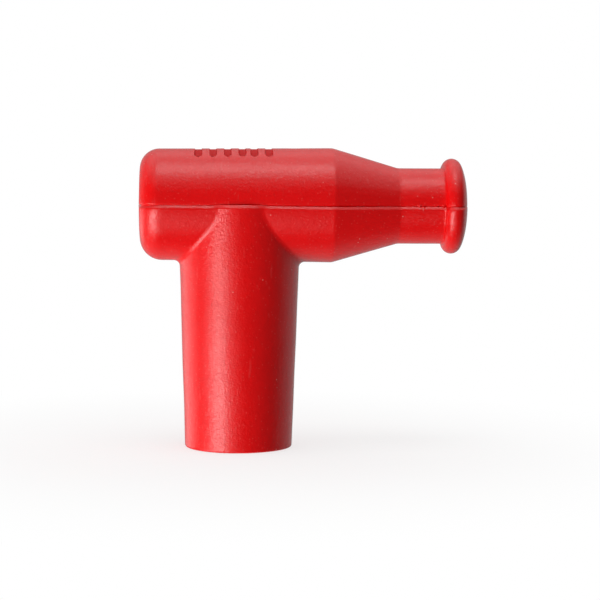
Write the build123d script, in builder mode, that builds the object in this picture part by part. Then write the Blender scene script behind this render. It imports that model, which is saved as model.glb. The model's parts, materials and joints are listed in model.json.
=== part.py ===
from build123d import *
from math import cos, degrees, pi, radians, sin, sqrt
import os

# Right-angle spark plug cap. A red silicone elbow is moulded over an insulating core. Inside the core,
# current runs from the ignition lead through a cable screw, a contact spring, a suppressor resistor and
# a cross contact down to a brass terminal, whose wire clip snaps round the spark plug's nut.
#
# Frame: origin at the centre of the mouth that slides over the plug, +Z up the plug's axis and +X along
# the barrel, towards the lead outlet. Millimetres.

# ---------------------------------------------------------------- driving dimensions
# Outside of the boot
AXIS_HEIGHT = 43.45  # barrel axis above the plug mouth
MOUTH_RADIUS = 9.6
MOUTH_ROUND = 0.35
LEG_TOP_RADIUS = 11.05  # leg at the height of the barrel axis
BARREL_BACK = 18.0  # leg axis to the barrel's closed end
BARREL_BACK_RADIUS = 9.9
END_LEAN = 0.35  # how far the closed end leans back at its rim
END_ROUND = 3.5
SHOULDER_X = 16.5  # where the barrel starts to narrow
SHOULDER_RADIUS = 10.2
NECK_X = 28.3  # where the narrowing ends
NECK_RADIUS = 6.76
EDGE_ROUND = 2.5  # softness of the shoulder and neck edges
OUTLET_X = 40.55
BEAD_X = 38.0  # centre of the round bead at the lead outlet
BEAD_CENTRE_RADIUS = 6.77
BEAD_ROUND = 1.65
BEAD_FACE_ANGLE = 27  # where the bead turns into the domed end face
BEAD_ROOT_ROUND = 0.3
JUNCTION_ROUND = 0.9  # inside corner between leg and barrel

# Parting line of the mould, which runs round the barrel at axis height
PARTING_STEP = 0.06  # the lower half stands proud
PARTING_REBATE = 0.12  # depth of the fine groove just above it
PARTING_REBATE_HEIGHT = 0.18

# Grip grooves across the top of the barrel, in pairs, and a short dash
GRIP_DEPTH = 0.15
GRIP_LENGTH = 10.2
GRIP_WIDTH = 1.2
GRIP_PAIR_GAP = 2.6
GRIP_PAIRS = (-6.1, -0.9, 3.8)
DASH_X = 9.7
DASH_LENGTH = 2.4
DASH_WIDTH = 0.9

# What the cap fits: a 10.5 mm plug insulator, a 6.35 mm terminal nut and a 7 mm ignition lead
INSULATOR_SEAL_RADIUS = 5.1
INSULATOR_RELIEF_RADIUS = 5.55
MOUTH_FLARE = 0.9
SEAL_RIBS = 3  # sealing ribs in each of the two bores
INSULATOR_RIB_START = 1.4
INSULATOR_RIB_PITCH = 4.2
INSULATOR_RIB_WIDTH = 1.3
LEAD_SEAL_RADIUS = 3.3
LEAD_RELIEF_RADIUS = 3.75
LEAD_RIB_START = 33.2
LEAD_RIB_PITCH = 2.4
LEAD_RIB_WIDTH = 0.9
LEAD_MOUTH_FLARE = 0.9
SOCKET_RADIUS = 3.25

# Insulating core
FIT_GAP = 0.02  # between faces that touch
CORE_BARREL_RADIUS = 6.6
CORE_BACK = 15.2
CORE_STEP_X = 20.0
CORE_LEAD_TUBE_RADIUS = 5.0
CORE_FRONT = 30.0
CORE_LEG_RADIUS = 7.0
CORE_BOTTOM = 24.5
CORE_KEY_DEPTH = 0.6  # grooves that the silicone grips
CORE_KEY_WIDTH = 1.6
CORE_KEY_PLACES = (2.2, 6.0)  # above the core's lower end
CORE_LEG_BORE = 5.4
WEB_BOTTOM = 36.0  # underside of the web that the terminal is screwed against
TRAIN_BORE = 4.05  # bore that holds the contact, resistor and spring in a row
END_THREAD_RADIUS = 5.0
END_THREAD_FRONT = -4.3
WALL_BACK = 19.5  # partition that the cable screw's head rests on
WALL_FRONT = 21.5
SCREW_NECK_WIDTH = 3.4

END_PLUG_BACK = -14.7
END_SEAL_THICKNESS = 0.5  # washer between the end plug and the core
END_PLUG_PITCH = 1.0
THREAD_DEPTH = 0.6  # of a vee thread, as a share of its pitch
THREAD_MOUTH = 0.4
SLOT_WIDTH = 1.4
SLOT_DEPTH = 1.6
SCREW_NECK_ROOM = 0.05
STUD_ROOM = 0.1

# Parts in a row along the barrel
EDGE_BREAK = 0.3
CONTACT_HALF_LENGTH = 4.5
CONTACT_RADIUS = 3.95
CONTACT_CUP_DEPTH = 0.75
RESISTOR_BACK = 3.8
RESISTOR_FRONT = 12.9
ROD_RADIUS = 2.3
CAP_RADIUS = 2.75
CAP_LENGTH = 2.0
CAP_END = 0.5
WINDING_WIRE = 0.15
WINDING_PITCH = 0.5
SLEEVE_THICKNESS = 0.25
SEAT_THICKNESS = 0.7
PILOT_RADIUS = 1.9
PILOT_LENGTH = 0.6
DISC_RADIUS = 3.6  # spring seat and screw head
SPRING_WIRE = 0.25
SPRING_MEAN_RADIUS = 2.7
SPRING_TURNS = 5
SPRING_POINTS_PER_TURN = 12
SCREW_HEAD_BACK = 17.9
SCREW_ROOT_RADIUS = 1.05
SCREW_CREST_RADIUS = 1.7
SCREW_PITCH = 1.35
SCREW_RIDGE_BASE = 0.72  # width of the thread's ridge where it leaves the root
SCREW_RIDGE_CREST = 0.1
SCREW_RIDGE_ROOT = 0.2  # how deep the ridge is bedded in the root
SCREW_THREAD_TURNS = 5
SCREW_POINT_TURNS = 1.6
SCREW_POINT_X = 29.2
SCREW_POINT_ANGLE = 18
SCREW_TIP = 32.3

# Plug terminal
TERMINAL_BOTTOM = 25.0
TERMINAL_RADIUS = 4.3
TERMINAL_FLANGE_RADIUS = 5.3
TERMINAL_FLANGE_BOTTOM = 33.4
WASHER_THICKNESS = 0.9
TERMINAL_TOP = WEB_BOTTOM - WASHER_THICKNESS
SOCKET_TOP = 32.6
SOCKET_ENTRY_RADIUS = 3.45  # wider stretch below and beside the clip
STUD_RADIUS = 2.0  # M4
STUD_TOP = 46.4
STUD_PITCH = 0.7
SOCKET_FLARE = 0.7
TERMINAL_SLOT_DEPTH = 1.2
KNURL_COUNT = 28
KNURL_RADIUS = 0.25
WASHER_RADIUS = 3.7
WASHER_SLIT = 0.5

# Wire clip round the terminal
CLIP_HEIGHT = 28.5
CLIP_WIRE = 0.45
CLIP_BOW_RADIUS = 4.35
CLIP_BOW_ANGLE = 30
CLIP_LEG_OFFSET = 2.9
CLIP_LEG_FRONT = 3.0
CLIP_ROOM = 0.1
CLIP_WINDOW = 2.2  # the windows start this far from the plug's axis

BARREL_PLANE = Plane(origin=(0, 0, AXIS_HEIGHT), x_dir=(1, 0, 0), z_dir=(0, -1, 0))
BARREL_AXIS = Axis((0, 0, AXIS_HEIGHT), (1, 0, 0))
FAR = 60.0  # longer than the whole cap
LEG_OVERRUN = 3.0  # keeps the leg's top edge clear of the barrel before it is cut off
NEAR = 0.01  # how closely a corner is picked by its place


# ---------------------------------------------------------------- shared shapes
def ribbed_bore(first, pitch, width, crest, relief):
    """Points along a bore with flat-topped sealing ribs, as (place along the axis, radius) pairs."""
    flank = relief - crest
    points = []
    for i in range(SEAL_RIBS):
        start = first + i * pitch
        points += [
            (start - flank, relief),
            (start, crest),
            (start + width, crest),
            (start + width + flank, relief),
        ]
    return points


def vee_groove(base, direction, height, radius, pitch, depth):
    """Helical groove that cuts a vee thread into a rod of that radius."""
    with BuildPart() as groove:
        with BuildLine() as path:
            Helix(pitch=pitch, height=height, radius=radius, center=base, direction=direction)
        start = path.line @ 0
        across = Plane(origin=start, x_dir=start - Vector(*base), z_dir=path.line % 0)
        with BuildSketch(across):
            with BuildLine():
                half = 0.4 * pitch
                overrun = depth / 4
                Polyline((overrun, -half), (overrun, half), (-depth, 0), close=True)
            make_face()
        sweep(path=path.line, is_frenet=True)
    return groove.part


def finish(piece, name):
    """Labels a finished piece and writes its STEP file."""
    piece.label = name
    export_step(piece, f"parts/{name}.step")
    print(name, round(piece.volume, 2), piece.is_valid, len(piece.solids()))


# ---------------------------------------------------------------- silicone boot
def barrel_moulding(proud):
    """The barrel, spout and bead as one turned shape, grown outwards by proud."""
    back = -BARREL_BACK - proud
    bead_root = BEAD_X - sqrt((BEAD_ROUND + proud) ** 2 - (NECK_RADIUS - BEAD_CENTRE_RADIUS) ** 2)
    with BuildPart() as barrel:
        with BuildSketch(BARREL_PLANE) as section:
            with BuildLine():
                bead = ThreePointArc(
                    (
                        BEAD_X + (BEAD_ROUND + proud) * cos(radians(BEAD_FACE_ANGLE)),
                        BEAD_CENTRE_RADIUS + (BEAD_ROUND + proud) * sin(radians(BEAD_FACE_ANGLE)),
                    ),
                    (BEAD_X, BEAD_CENTRE_RADIUS + BEAD_ROUND + proud),
                    (bead_root, NECK_RADIUS + proud),
                )
                face = TangentArc(
                    bead @ 0, (OUTLET_X + proud, LEAD_SEAL_RADIUS), tangent=-(bead % 0)
                )
                Polyline(
                    bead @ 1,
                    (NECK_X, NECK_RADIUS + proud),
                    (SHOULDER_X, SHOULDER_RADIUS + proud),
                    (back + END_LEAN, BARREL_BACK_RADIUS + proud),
                    (back, 0),
                    (OUTLET_X + proud, 0),
                    face @ 1,
                )
            make_face()
            corners = section.vertices()
            fillet(corners.filter_by_position(Axis.X, back + END_LEAN / 2, 0), radius=END_ROUND)
            for edge_x in (SHOULDER_X, NECK_X):
                corners = section.vertices()
                fillet(
                    corners.filter_by_position(Axis.X, edge_x - NEAR, edge_x + NEAR),
                    radius=EDGE_ROUND,
                )
            corners = section.vertices()
            fillet(
                corners.filter_by_position(Axis.X, bead_root - NEAR, bead_root + NEAR),
                radius=BEAD_ROOT_ROUND,
            )
        revolve(axis=BARREL_AXIS)
    return barrel.part


def lower_moulding():
    """Everything below the parting plane: half the barrel, with the leg blended into it."""
    over_top = AXIS_HEIGHT + SHOULDER_RADIUS + LEG_OVERRUN
    slope = (LEG_TOP_RADIUS - MOUTH_RADIUS) / AXIS_HEIGHT
    with BuildPart() as lower:
        add(barrel_moulding(PARTING_STEP))
        with BuildSketch(Plane.XZ) as section:
            with BuildLine():
                Polyline(
                    (0, 0),
                    (MOUTH_RADIUS, 0),
                    (MOUTH_RADIUS + slope * over_top, over_top),
                    (0, over_top),
                    close=True,
                )
            make_face()
            fillet(section.vertices().group_by(Axis.Y)[0].sort_by(Axis.X)[-1], MOUTH_ROUND)
        revolve(axis=Axis.Z)
        joints = lower.edges(Select.NEW).filter_by(
            lambda e: e.geom_type not in (GeomType.CIRCLE, GeomType.LINE)
        )
        fillet(joints, radius=JUNCTION_ROUND)
        split(bisect_by=Plane.XY.offset(AXIS_HEIGHT), keep=Keep.BOTTOM)
    return lower.part


def parting_rebate():
    """The thin ring that leaves a fine groove just above the parting plane."""
    with BuildPart() as ring:
        with Locations((0, 0, AXIS_HEIGHT)):
            Box(
                2 * FAR,
                FAR,
                PARTING_REBATE_HEIGHT,
                align=(Align.CENTER, Align.CENTER, Align.MIN),
            )
        add(barrel_moulding(-PARTING_REBATE), mode=Mode.SUBTRACT)
    return ring.part


def grip_grooves():
    """Shallow grooves and a short dash in the top of the barrel, where the hand pulls the cap off."""
    with BuildPart() as grooves:
        with BuildSketch(Plane.XY.offset(AXIS_HEIGHT)):
            for middle in GRIP_PAIRS:
                with Locations((middle - GRIP_PAIR_GAP / 2, 0), (middle + GRIP_PAIR_GAP / 2, 0)):
                    SlotOverall(GRIP_LENGTH, GRIP_WIDTH, rotation=90)
            with Locations((DASH_X, 0)):
                SlotOverall(DASH_LENGTH, DASH_WIDTH)
        extrude(amount=FAR)
        add(barrel_moulding(-GRIP_DEPTH), mode=Mode.SUBTRACT)
    return grooves.part


def core_barrel_outline(grow):
    """Outer outline of the core along the barrel, as (x, radius) points."""
    return [
        (-CORE_BACK - grow, 0),
        (-CORE_BACK - grow, CORE_BARREL_RADIUS + grow),
        (CORE_STEP_X + grow, CORE_BARREL_RADIUS + grow),
        (CORE_STEP_X + grow, CORE_LEAD_TUBE_RADIUS + grow),
        (CORE_FRONT + grow, CORE_LEAD_TUBE_RADIUS + grow),
        (CORE_FRONT + grow, 0),
    ]


def core_leg_outline(grow):
    """Outer outline of the core down the leg, as (radius, z) points, with its locking grooves."""
    outline = [(0, CORE_BOTTOM - grow), (CORE_LEG_RADIUS + grow, CORE_BOTTOM - grow)]
    for place in CORE_KEY_PLACES:
        low = CORE_BOTTOM + place
        for z, depth in (
            (low + grow, 0),
            (low + grow, CORE_KEY_DEPTH),
            (low + CORE_KEY_WIDTH - grow, CORE_KEY_DEPTH),
            (low + CORE_KEY_WIDTH - grow, 0),
        ):
            outline.append((CORE_LEG_RADIUS + grow - depth, z))
    outline += [(CORE_LEG_RADIUS + grow, AXIS_HEIGHT), (0, AXIS_HEIGHT)]
    return outline


def core_outside(grow):
    """The core's outer shape, grown by grow. The boot's cavity is the same shape, a little larger."""
    with BuildPart() as outside:
        with BuildSketch(BARREL_PLANE):
            with BuildLine():
                Polyline(*core_barrel_outline(grow), close=True)
            make_face()
        revolve(axis=BARREL_AXIS)
        with BuildSketch(Plane.XZ):
            with BuildLine():
                Polyline(*core_leg_outline(grow), close=True)
            make_face()
        revolve(axis=Axis.Z)
    return outside.part


with BuildPart() as boot:
    add(barrel_moulding(0))
    add(lower_moulding())
    add(parting_rebate(), mode=Mode.SUBTRACT)
    add(grip_grooves(), mode=Mode.SUBTRACT)
    add(core_outside(FIT_GAP), mode=Mode.SUBTRACT)
    with BuildSketch(Plane.XZ):  # bore for the plug's insulator
        with BuildLine():
            seal = ribbed_bore(
                INSULATOR_RIB_START,
                INSULATOR_RIB_PITCH,
                INSULATOR_RIB_WIDTH,
                INSULATOR_SEAL_RADIUS,
                INSULATOR_RELIEF_RADIUS,
            )
            Polyline(
                (0, 0),
                (INSULATOR_RELIEF_RADIUS + MOUTH_FLARE, 0),
                *[(radius, z) for z, radius in seal],
                (INSULATOR_RELIEF_RADIUS, CORE_BOTTOM),
                (0, CORE_BOTTOM),
                close=True,
            )
        make_face()
    revolve(axis=Axis.Z, mode=Mode.SUBTRACT)
    with BuildSketch(BARREL_PLANE):  # bore for the ignition lead
        with BuildLine():
            seal = ribbed_bore(
                LEAD_RIB_START,
                LEAD_RIB_PITCH,
                LEAD_RIB_WIDTH,
                LEAD_SEAL_RADIUS,
                LEAD_RELIEF_RADIUS,
            )
            Polyline(
                (CORE_FRONT, 0),
                (CORE_FRONT, LEAD_RELIEF_RADIUS),
                *seal,
                (OUTLET_X - LEAD_MOUTH_FLARE, LEAD_RELIEF_RADIUS),
                (OUTLET_X + PARTING_STEP, LEAD_RELIEF_RADIUS + LEAD_MOUTH_FLARE),
                (OUTLET_X + PARTING_STEP, 0),
                close=True,
            )
        make_face()
    revolve(axis=BARREL_AXIS, mode=Mode.SUBTRACT)


# ---------------------------------------------------------------- insulating core
with BuildPart() as core:
    add(core_outside(0))
    with BuildSketch(BARREL_PLANE):  # thread for the end plug, then the bore for the parts in a row
        with BuildLine():
            Polyline(
                (-CORE_BACK, 0),
                (-CORE_BACK, END_THREAD_RADIUS + THREAD_MOUTH),
                (-CORE_BACK + THREAD_MOUTH, END_THREAD_RADIUS + FIT_GAP),
                (END_THREAD_FRONT, END_THREAD_RADIUS + FIT_GAP),
                (END_THREAD_FRONT, TRAIN_BORE),
                (WALL_BACK, TRAIN_BORE),
                (WALL_BACK, 0),
                close=True,
            )
        make_face()
    revolve(axis=BARREL_AXIS, mode=Mode.SUBTRACT)
    with BuildSketch(BARREL_PLANE):  # bore for the end of the ignition lead
        with BuildLine():
            Polyline(
                (WALL_FRONT, 0),
                (WALL_FRONT, LEAD_RELIEF_RADIUS),
                (CORE_FRONT, LEAD_RELIEF_RADIUS),
                (CORE_FRONT, 0),
                close=True,
            )
        make_face()
    revolve(axis=BARREL_AXIS, mode=Mode.SUBTRACT)
    with Locations(((WALL_BACK + WALL_FRONT) / 2, 0, AXIS_HEIGHT)):  # keeps the screw from turning
        screw_window = SCREW_NECK_WIDTH + 2 * SCREW_NECK_ROOM
        Box(2 * (WALL_FRONT - WALL_BACK), screw_window, screw_window, mode=Mode.SUBTRACT)
    with BuildSketch(Plane.XY.offset(CORE_BOTTOM)):
        Circle(CORE_LEG_BORE)
    extrude(amount=WEB_BOTTOM - CORE_BOTTOM, mode=Mode.SUBTRACT)
    with BuildSketch(Plane.XY.offset(WEB_BOTTOM)):
        Circle(STUD_RADIUS + STUD_ROOM)
    extrude(amount=AXIS_HEIGHT - WEB_BOTTOM, mode=Mode.SUBTRACT)

with BuildPart() as end_plug:
    plug_radius = END_THREAD_RADIUS - FIT_GAP
    plug_front = END_THREAD_FRONT - END_SEAL_THICKNESS - 2 * FIT_GAP
    with BuildSketch(BARREL_PLANE):
        with BuildLine():
            Polyline(
                (END_PLUG_BACK, 0),
                (END_PLUG_BACK, plug_radius - THREAD_MOUTH),
                (END_PLUG_BACK + THREAD_MOUTH, plug_radius),
                (plug_front, plug_radius),
                (plug_front, CONTACT_RADIUS),
                (-CONTACT_HALF_LENGTH - FIT_GAP, CONTACT_RADIUS),
                (-CONTACT_HALF_LENGTH - FIT_GAP, 0),
                close=True,
            )
        make_face()
    revolve(axis=BARREL_AXIS)
    add(
        vee_groove(
            base=(END_PLUG_BACK + THREAD_MOUTH, 0, AXIS_HEIGHT),
            direction=(1, 0, 0),
            height=plug_front - END_PLUG_BACK - 3 * THREAD_MOUTH,
            radius=plug_radius,
            pitch=END_PLUG_PITCH,
            depth=THREAD_DEPTH * END_PLUG_PITCH,
        ),
        mode=Mode.SUBTRACT,
    )
    with Locations((END_PLUG_BACK, 0, AXIS_HEIGHT)):  # screwdriver slot
        Box(2 * SLOT_DEPTH, 2 * plug_radius, SLOT_WIDTH, mode=Mode.SUBTRACT)

with BuildPart() as end_seal:
    with BuildSketch(Plane.YZ.offset(END_THREAD_FRONT - FIT_GAP)):
        with Locations((0, AXIS_HEIGHT)):
            Circle(END_THREAD_RADIUS - FIT_GAP)
            Circle(TRAIN_BORE, mode=Mode.SUBTRACT)
    extrude(amount=-END_SEAL_THICKNESS)

# ---------------------------------------------------------------- parts in a row along the barrel
with BuildPart() as cross_contact:
    with BuildSketch(BARREL_PLANE):
        with BuildLine():
            Polyline(
                (-CONTACT_HALF_LENGTH, 0),
                (-CONTACT_HALF_LENGTH, CONTACT_RADIUS - EDGE_BREAK),
                (-CONTACT_HALF_LENGTH + EDGE_BREAK, CONTACT_RADIUS),
                (CONTACT_HALF_LENGTH - EDGE_BREAK, CONTACT_RADIUS),
                (CONTACT_HALF_LENGTH, CONTACT_RADIUS - EDGE_BREAK),
                (CONTACT_HALF_LENGTH, CAP_RADIUS + FIT_GAP),
                (CONTACT_HALF_LENGTH - CONTACT_CUP_DEPTH, CAP_RADIUS + FIT_GAP),
                (CONTACT_HALF_LENGTH - CONTACT_CUP_DEPTH, 0),
                close=True,
            )
        make_face()
    revolve(axis=BARREL_AXIS)
    with BuildSketch(Plane.XY.offset(AXIS_HEIGHT - CONTACT_RADIUS)):  # tapped hole for the stud
        Circle(STUD_RADIUS + FIT_GAP)
    extrude(amount=2 * CONTACT_RADIUS, mode=Mode.SUBTRACT)

with BuildPart() as resistor_rod:
    rod_back = RESISTOR_BACK + CAP_END + FIT_GAP
    rod_front = RESISTOR_FRONT - CAP_END - FIT_GAP
    with BuildSketch(Plane.YZ.offset(rod_back)):
        with Locations((0, AXIS_HEIGHT)):
            Circle(ROD_RADIUS)
    extrude(amount=rod_front - rod_back)
    chamfer(resistor_rod.edges().filter_by(GeomType.CIRCLE), length=EDGE_BREAK)


def resistor_cap(end_x, inward):
    """Pressed brass cup over one end of the resistor's rod. inward is +1 or -1 along X."""
    with BuildPart() as cap:
        with BuildSketch(BARREL_PLANE) as section:
            with BuildLine():
                Polyline(
                    (end_x, 0),
                    (end_x, CAP_RADIUS),
                    (end_x + inward * CAP_LENGTH, CAP_RADIUS),
                    (end_x + inward * CAP_LENGTH, ROD_RADIUS + FIT_GAP),
                    (end_x + inward * CAP_END, ROD_RADIUS + FIT_GAP),
                    (end_x + inward * CAP_END, 0),
                    close=True,
                )
            make_face()
            rim = section.vertices().filter_by_position(Axis.X, end_x - NEAR, end_x + NEAR)
            fillet(rim.sort_by(Axis.Y)[-1], radius=EDGE_BREAK)
        revolve(axis=BARREL_AXIS)
    return cap.part


resistor_cap_back = resistor_cap(RESISTOR_BACK, 1)
resistor_cap_front = resistor_cap(RESISTOR_FRONT, -1)

with BuildPart() as resistor_winding:
    winding_back = RESISTOR_BACK + CAP_LENGTH + 2 * WINDING_WIRE
    winding_front = RESISTOR_FRONT - CAP_LENGTH - 2 * WINDING_WIRE
    with BuildLine() as winding_path:
        Helix(
            pitch=WINDING_PITCH,
            height=winding_front - winding_back,
            radius=ROD_RADIUS + WINDING_WIRE + FIT_GAP,
            center=(winding_back, 0, AXIS_HEIGHT),
            direction=(1, 0, 0),
        )
    with BuildSketch(Plane(origin=winding_path.line @ 0, z_dir=winding_path.line % 0)):
        Circle(WINDING_WIRE)
    sweep(path=winding_path.line, is_frenet=True)

with BuildPart() as resistor_sleeve:
    sleeve_radius = ROD_RADIUS + 2 * WINDING_WIRE + 2 * FIT_GAP
    with BuildSketch(Plane.YZ.offset(RESISTOR_BACK + CAP_LENGTH + FIT_GAP)):
        with Locations((0, AXIS_HEIGHT)):
            Circle(sleeve_radius + SLEEVE_THICKNESS)
            Circle(sleeve_radius, mode=Mode.SUBTRACT)
    extrude(amount=RESISTOR_FRONT - RESISTOR_BACK - 2 * (CAP_LENGTH + FIT_GAP))

with BuildPart() as spring_seat:
    seat_front = RESISTOR_FRONT + FIT_GAP + SEAT_THICKNESS
    with BuildSketch(BARREL_PLANE):
        with BuildLine():
            Polyline(
                (RESISTOR_FRONT + FIT_GAP, 0),
                (RESISTOR_FRONT + FIT_GAP, DISC_RADIUS - EDGE_BREAK / 2),
                (RESISTOR_FRONT + FIT_GAP + EDGE_BREAK / 2, DISC_RADIUS),
                (seat_front, DISC_RADIUS),
                (seat_front, PILOT_RADIUS),
                (seat_front + PILOT_LENGTH - EDGE_BREAK, PILOT_RADIUS),
                (seat_front + PILOT_LENGTH, PILOT_RADIUS - EDGE_BREAK),
                (seat_front + PILOT_LENGTH, 0),
                close=True,
            )
        make_face()
    revolve(axis=BARREL_AXIS)


def spring_point(turns):
    """A point on the spring's wire. The first and last turns lie flat, the rest are open."""
    closed_pitch = 2 * SPRING_WIRE + FIT_GAP
    room = SCREW_HEAD_BACK - seat_front - 2 * (SPRING_WIRE + FIT_GAP)
    share = min(1.0, max(0.0, (turns - 1) / (SPRING_TURNS - 2)))
    eased = share * share * (3 - 2 * share)
    along = closed_pitch * turns + (room - closed_pitch * SPRING_TURNS) * eased
    return (
        seat_front + SPRING_WIRE + FIT_GAP + along,
        SPRING_MEAN_RADIUS * cos(2 * pi * turns),
        AXIS_HEIGHT + SPRING_MEAN_RADIUS * sin(2 * pi * turns),
    )


with BuildPart() as contact_spring:
    with BuildLine() as spring_path:
        Spline(
            *[
                spring_point(i / SPRING_POINTS_PER_TURN)
                for i in range(SPRING_TURNS * SPRING_POINTS_PER_TURN + 1)
            ]
        )
    with BuildSketch(Plane(origin=spring_path.line @ 0, z_dir=spring_path.line % 0)):
        Circle(SPRING_WIRE)
    sweep(path=spring_path.line)


def screw_thread(start_x, turns, radius, cone_angle):
    """Sharp thread of a wood screw, wound round a root of that radius."""
    with BuildPart() as thread:
        with BuildLine() as path:
            Helix(
                pitch=SCREW_PITCH,
                height=turns * SCREW_PITCH,
                radius=radius,
                center=(start_x, 0, AXIS_HEIGHT),
                direction=(1, 0, 0),
                cone_angle=cone_angle,
            )
        start = path.line @ 0
        outward = start - Vector(start_x, 0, AXIS_HEIGHT)
        with BuildSketch(Plane(origin=start, x_dir=outward, z_dir=path.line % 0)):
            with BuildLine():
                crest = SCREW_CREST_RADIUS - SCREW_ROOT_RADIUS
                Polyline(
                    (-SCREW_RIDGE_ROOT, -SCREW_RIDGE_BASE / 2),
                    (-SCREW_RIDGE_ROOT, SCREW_RIDGE_BASE / 2),
                    (crest, SCREW_RIDGE_CREST / 2),
                    (crest, -SCREW_RIDGE_CREST / 2),
                    close=True,
                )
            make_face()
        sweep(path=path.line, is_frenet=True)
    return thread.part


with BuildPart() as cable_screw:
    with BuildSketch(BARREL_PLANE):
        with BuildLine():
            Polyline(
                (SCREW_HEAD_BACK - PILOT_LENGTH, 0),
                (SCREW_HEAD_BACK - PILOT_LENGTH, PILOT_RADIUS - EDGE_BREAK),
                (SCREW_HEAD_BACK - PILOT_LENGTH + EDGE_BREAK, PILOT_RADIUS),
                (SCREW_HEAD_BACK, PILOT_RADIUS),
                (SCREW_HEAD_BACK, DISC_RADIUS - EDGE_BREAK),
                (SCREW_HEAD_BACK + EDGE_BREAK, DISC_RADIUS),
                (WALL_BACK - FIT_GAP, DISC_RADIUS),
                (WALL_BACK - FIT_GAP, SCREW_ROOT_RADIUS),
                (SCREW_POINT_X, SCREW_ROOT_RADIUS),
                (SCREW_TIP, 0),
                close=True,
            )
        make_face()
    revolve(axis=BARREL_AXIS)
    with Locations((WALL_BACK - FIT_GAP, 0, AXIS_HEIGHT)):
        Box(
            WALL_FRONT - WALL_BACK,
            SCREW_NECK_WIDTH,
            SCREW_NECK_WIDTH,
            align=(Align.MIN, Align.CENTER, Align.CENTER),
        )
    thread_start = SCREW_POINT_X - SCREW_THREAD_TURNS * SCREW_PITCH
    add(screw_thread(thread_start, SCREW_THREAD_TURNS, SCREW_ROOT_RADIUS, 0))
    add(screw_thread(SCREW_POINT_X, SCREW_POINT_TURNS, SCREW_ROOT_RADIUS, -SCREW_POINT_ANGLE))

# ---------------------------------------------------------------- plug terminal and its clip
with BuildPart() as plug_terminal:
    groove_half = CLIP_WIRE + CLIP_ROOM
    groove_root = CLIP_BOW_RADIUS - CLIP_WIRE - CLIP_ROOM
    entry_step = SOCKET_ENTRY_RADIUS - SOCKET_RADIUS
    with BuildSketch(Plane.XZ):
        with BuildLine():
            Polyline(
                (SOCKET_ENTRY_RADIUS + SOCKET_FLARE, TERMINAL_BOTTOM),
                (TERMINAL_RADIUS, TERMINAL_BOTTOM),
                (TERMINAL_RADIUS, CLIP_HEIGHT - groove_half),
                (groove_root, CLIP_HEIGHT - groove_half),
                (groove_root, CLIP_HEIGHT + groove_half),
                (TERMINAL_RADIUS, CLIP_HEIGHT + groove_half),
                (TERMINAL_RADIUS, TERMINAL_FLANGE_BOTTOM),
                (TERMINAL_FLANGE_RADIUS, TERMINAL_FLANGE_BOTTOM),
                (TERMINAL_FLANGE_RADIUS, TERMINAL_TOP),
                (STUD_RADIUS, TERMINAL_TOP),
                (STUD_RADIUS, STUD_TOP - EDGE_BREAK),
                (STUD_RADIUS - EDGE_BREAK, STUD_TOP),
                (0, STUD_TOP),
                (0, SOCKET_TOP),
                (SOCKET_RADIUS, SOCKET_TOP),
                (SOCKET_RADIUS, CLIP_HEIGHT + groove_half + entry_step),
                (SOCKET_ENTRY_RADIUS, CLIP_HEIGHT + groove_half),
                (SOCKET_ENTRY_RADIUS, TERMINAL_BOTTOM + SOCKET_FLARE),
                close=True,
            )
        make_face()
    revolve(axis=Axis.Z)
    for side in (-1, 1):  # windows that let the clip's legs reach the plug's nut
        with Locations((0, side * (CLIP_WINDOW + TERMINAL_RADIUS / 2), CLIP_HEIGHT)):
            Box(3 * TERMINAL_RADIUS, TERMINAL_RADIUS, 2 * groove_half, mode=Mode.SUBTRACT)
    with Locations((0, 0, SOCKET_TOP)):  # screwdriver slot, reached up the socket
        Box(2 * SOCKET_RADIUS, SLOT_WIDTH, 2 * TERMINAL_SLOT_DEPTH, mode=Mode.SUBTRACT)
    with BuildSketch(Plane.XY.offset(TERMINAL_FLANGE_BOTTOM)):  # knurled flange
        with PolarLocations(TERMINAL_FLANGE_RADIUS, KNURL_COUNT):
            Circle(KNURL_RADIUS)
    extrude(amount=TERMINAL_TOP - TERMINAL_FLANGE_BOTTOM, mode=Mode.SUBTRACT)
    add(
        vee_groove(
            base=(0, 0, WEB_BOTTOM + STUD_PITCH),
            direction=(0, 0, 1),
            height=STUD_TOP - WEB_BOTTOM - 2.5 * STUD_PITCH,
            radius=STUD_RADIUS,
            pitch=STUD_PITCH,
            depth=THREAD_DEPTH * STUD_PITCH,
        ),
        mode=Mode.SUBTRACT,
    )

with BuildPart() as lock_washer:
    with BuildSketch(Plane.XY.offset(TERMINAL_TOP + FIT_GAP / 2)):
        Circle(WASHER_RADIUS)
        Circle(STUD_RADIUS + STUD_ROOM, mode=Mode.SUBTRACT)
        with Locations((WASHER_RADIUS, 0)):
            Rectangle(2 * STUD_RADIUS, WASHER_SLIT, mode=Mode.SUBTRACT)
    extrude(amount=WASHER_THICKNESS - FIT_GAP)

with BuildPart() as clip_leg_left:
    with BuildLine(Plane.XY.offset(CLIP_HEIGHT)) as clip_path:
        split_angle = degrees(FIT_GAP / CLIP_BOW_RADIUS)
        bow = CenterArc(
            (0, 0), CLIP_BOW_RADIUS, 180 - split_angle, split_angle - CLIP_BOW_ANGLE
        )
        turn = 90 - CLIP_BOW_ANGLE
        knee_radius = (CLIP_LEG_OFFSET - (bow @ 1).Y) / (1 - cos(radians(turn)))
        knee = JernArc(bow @ 1, bow % 1, knee_radius, -turn)
        Line(knee @ 1, (CLIP_LEG_FRONT, CLIP_LEG_OFFSET))
    with BuildSketch(Plane(origin=clip_path.line @ 0, z_dir=clip_path.line % 0)):
        Circle(CLIP_WIRE)
    sweep(path=clip_path.line)

with BuildPart() as clip_leg_right:
    mirror(clip_leg_left.part, about=Plane.XZ)

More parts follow.
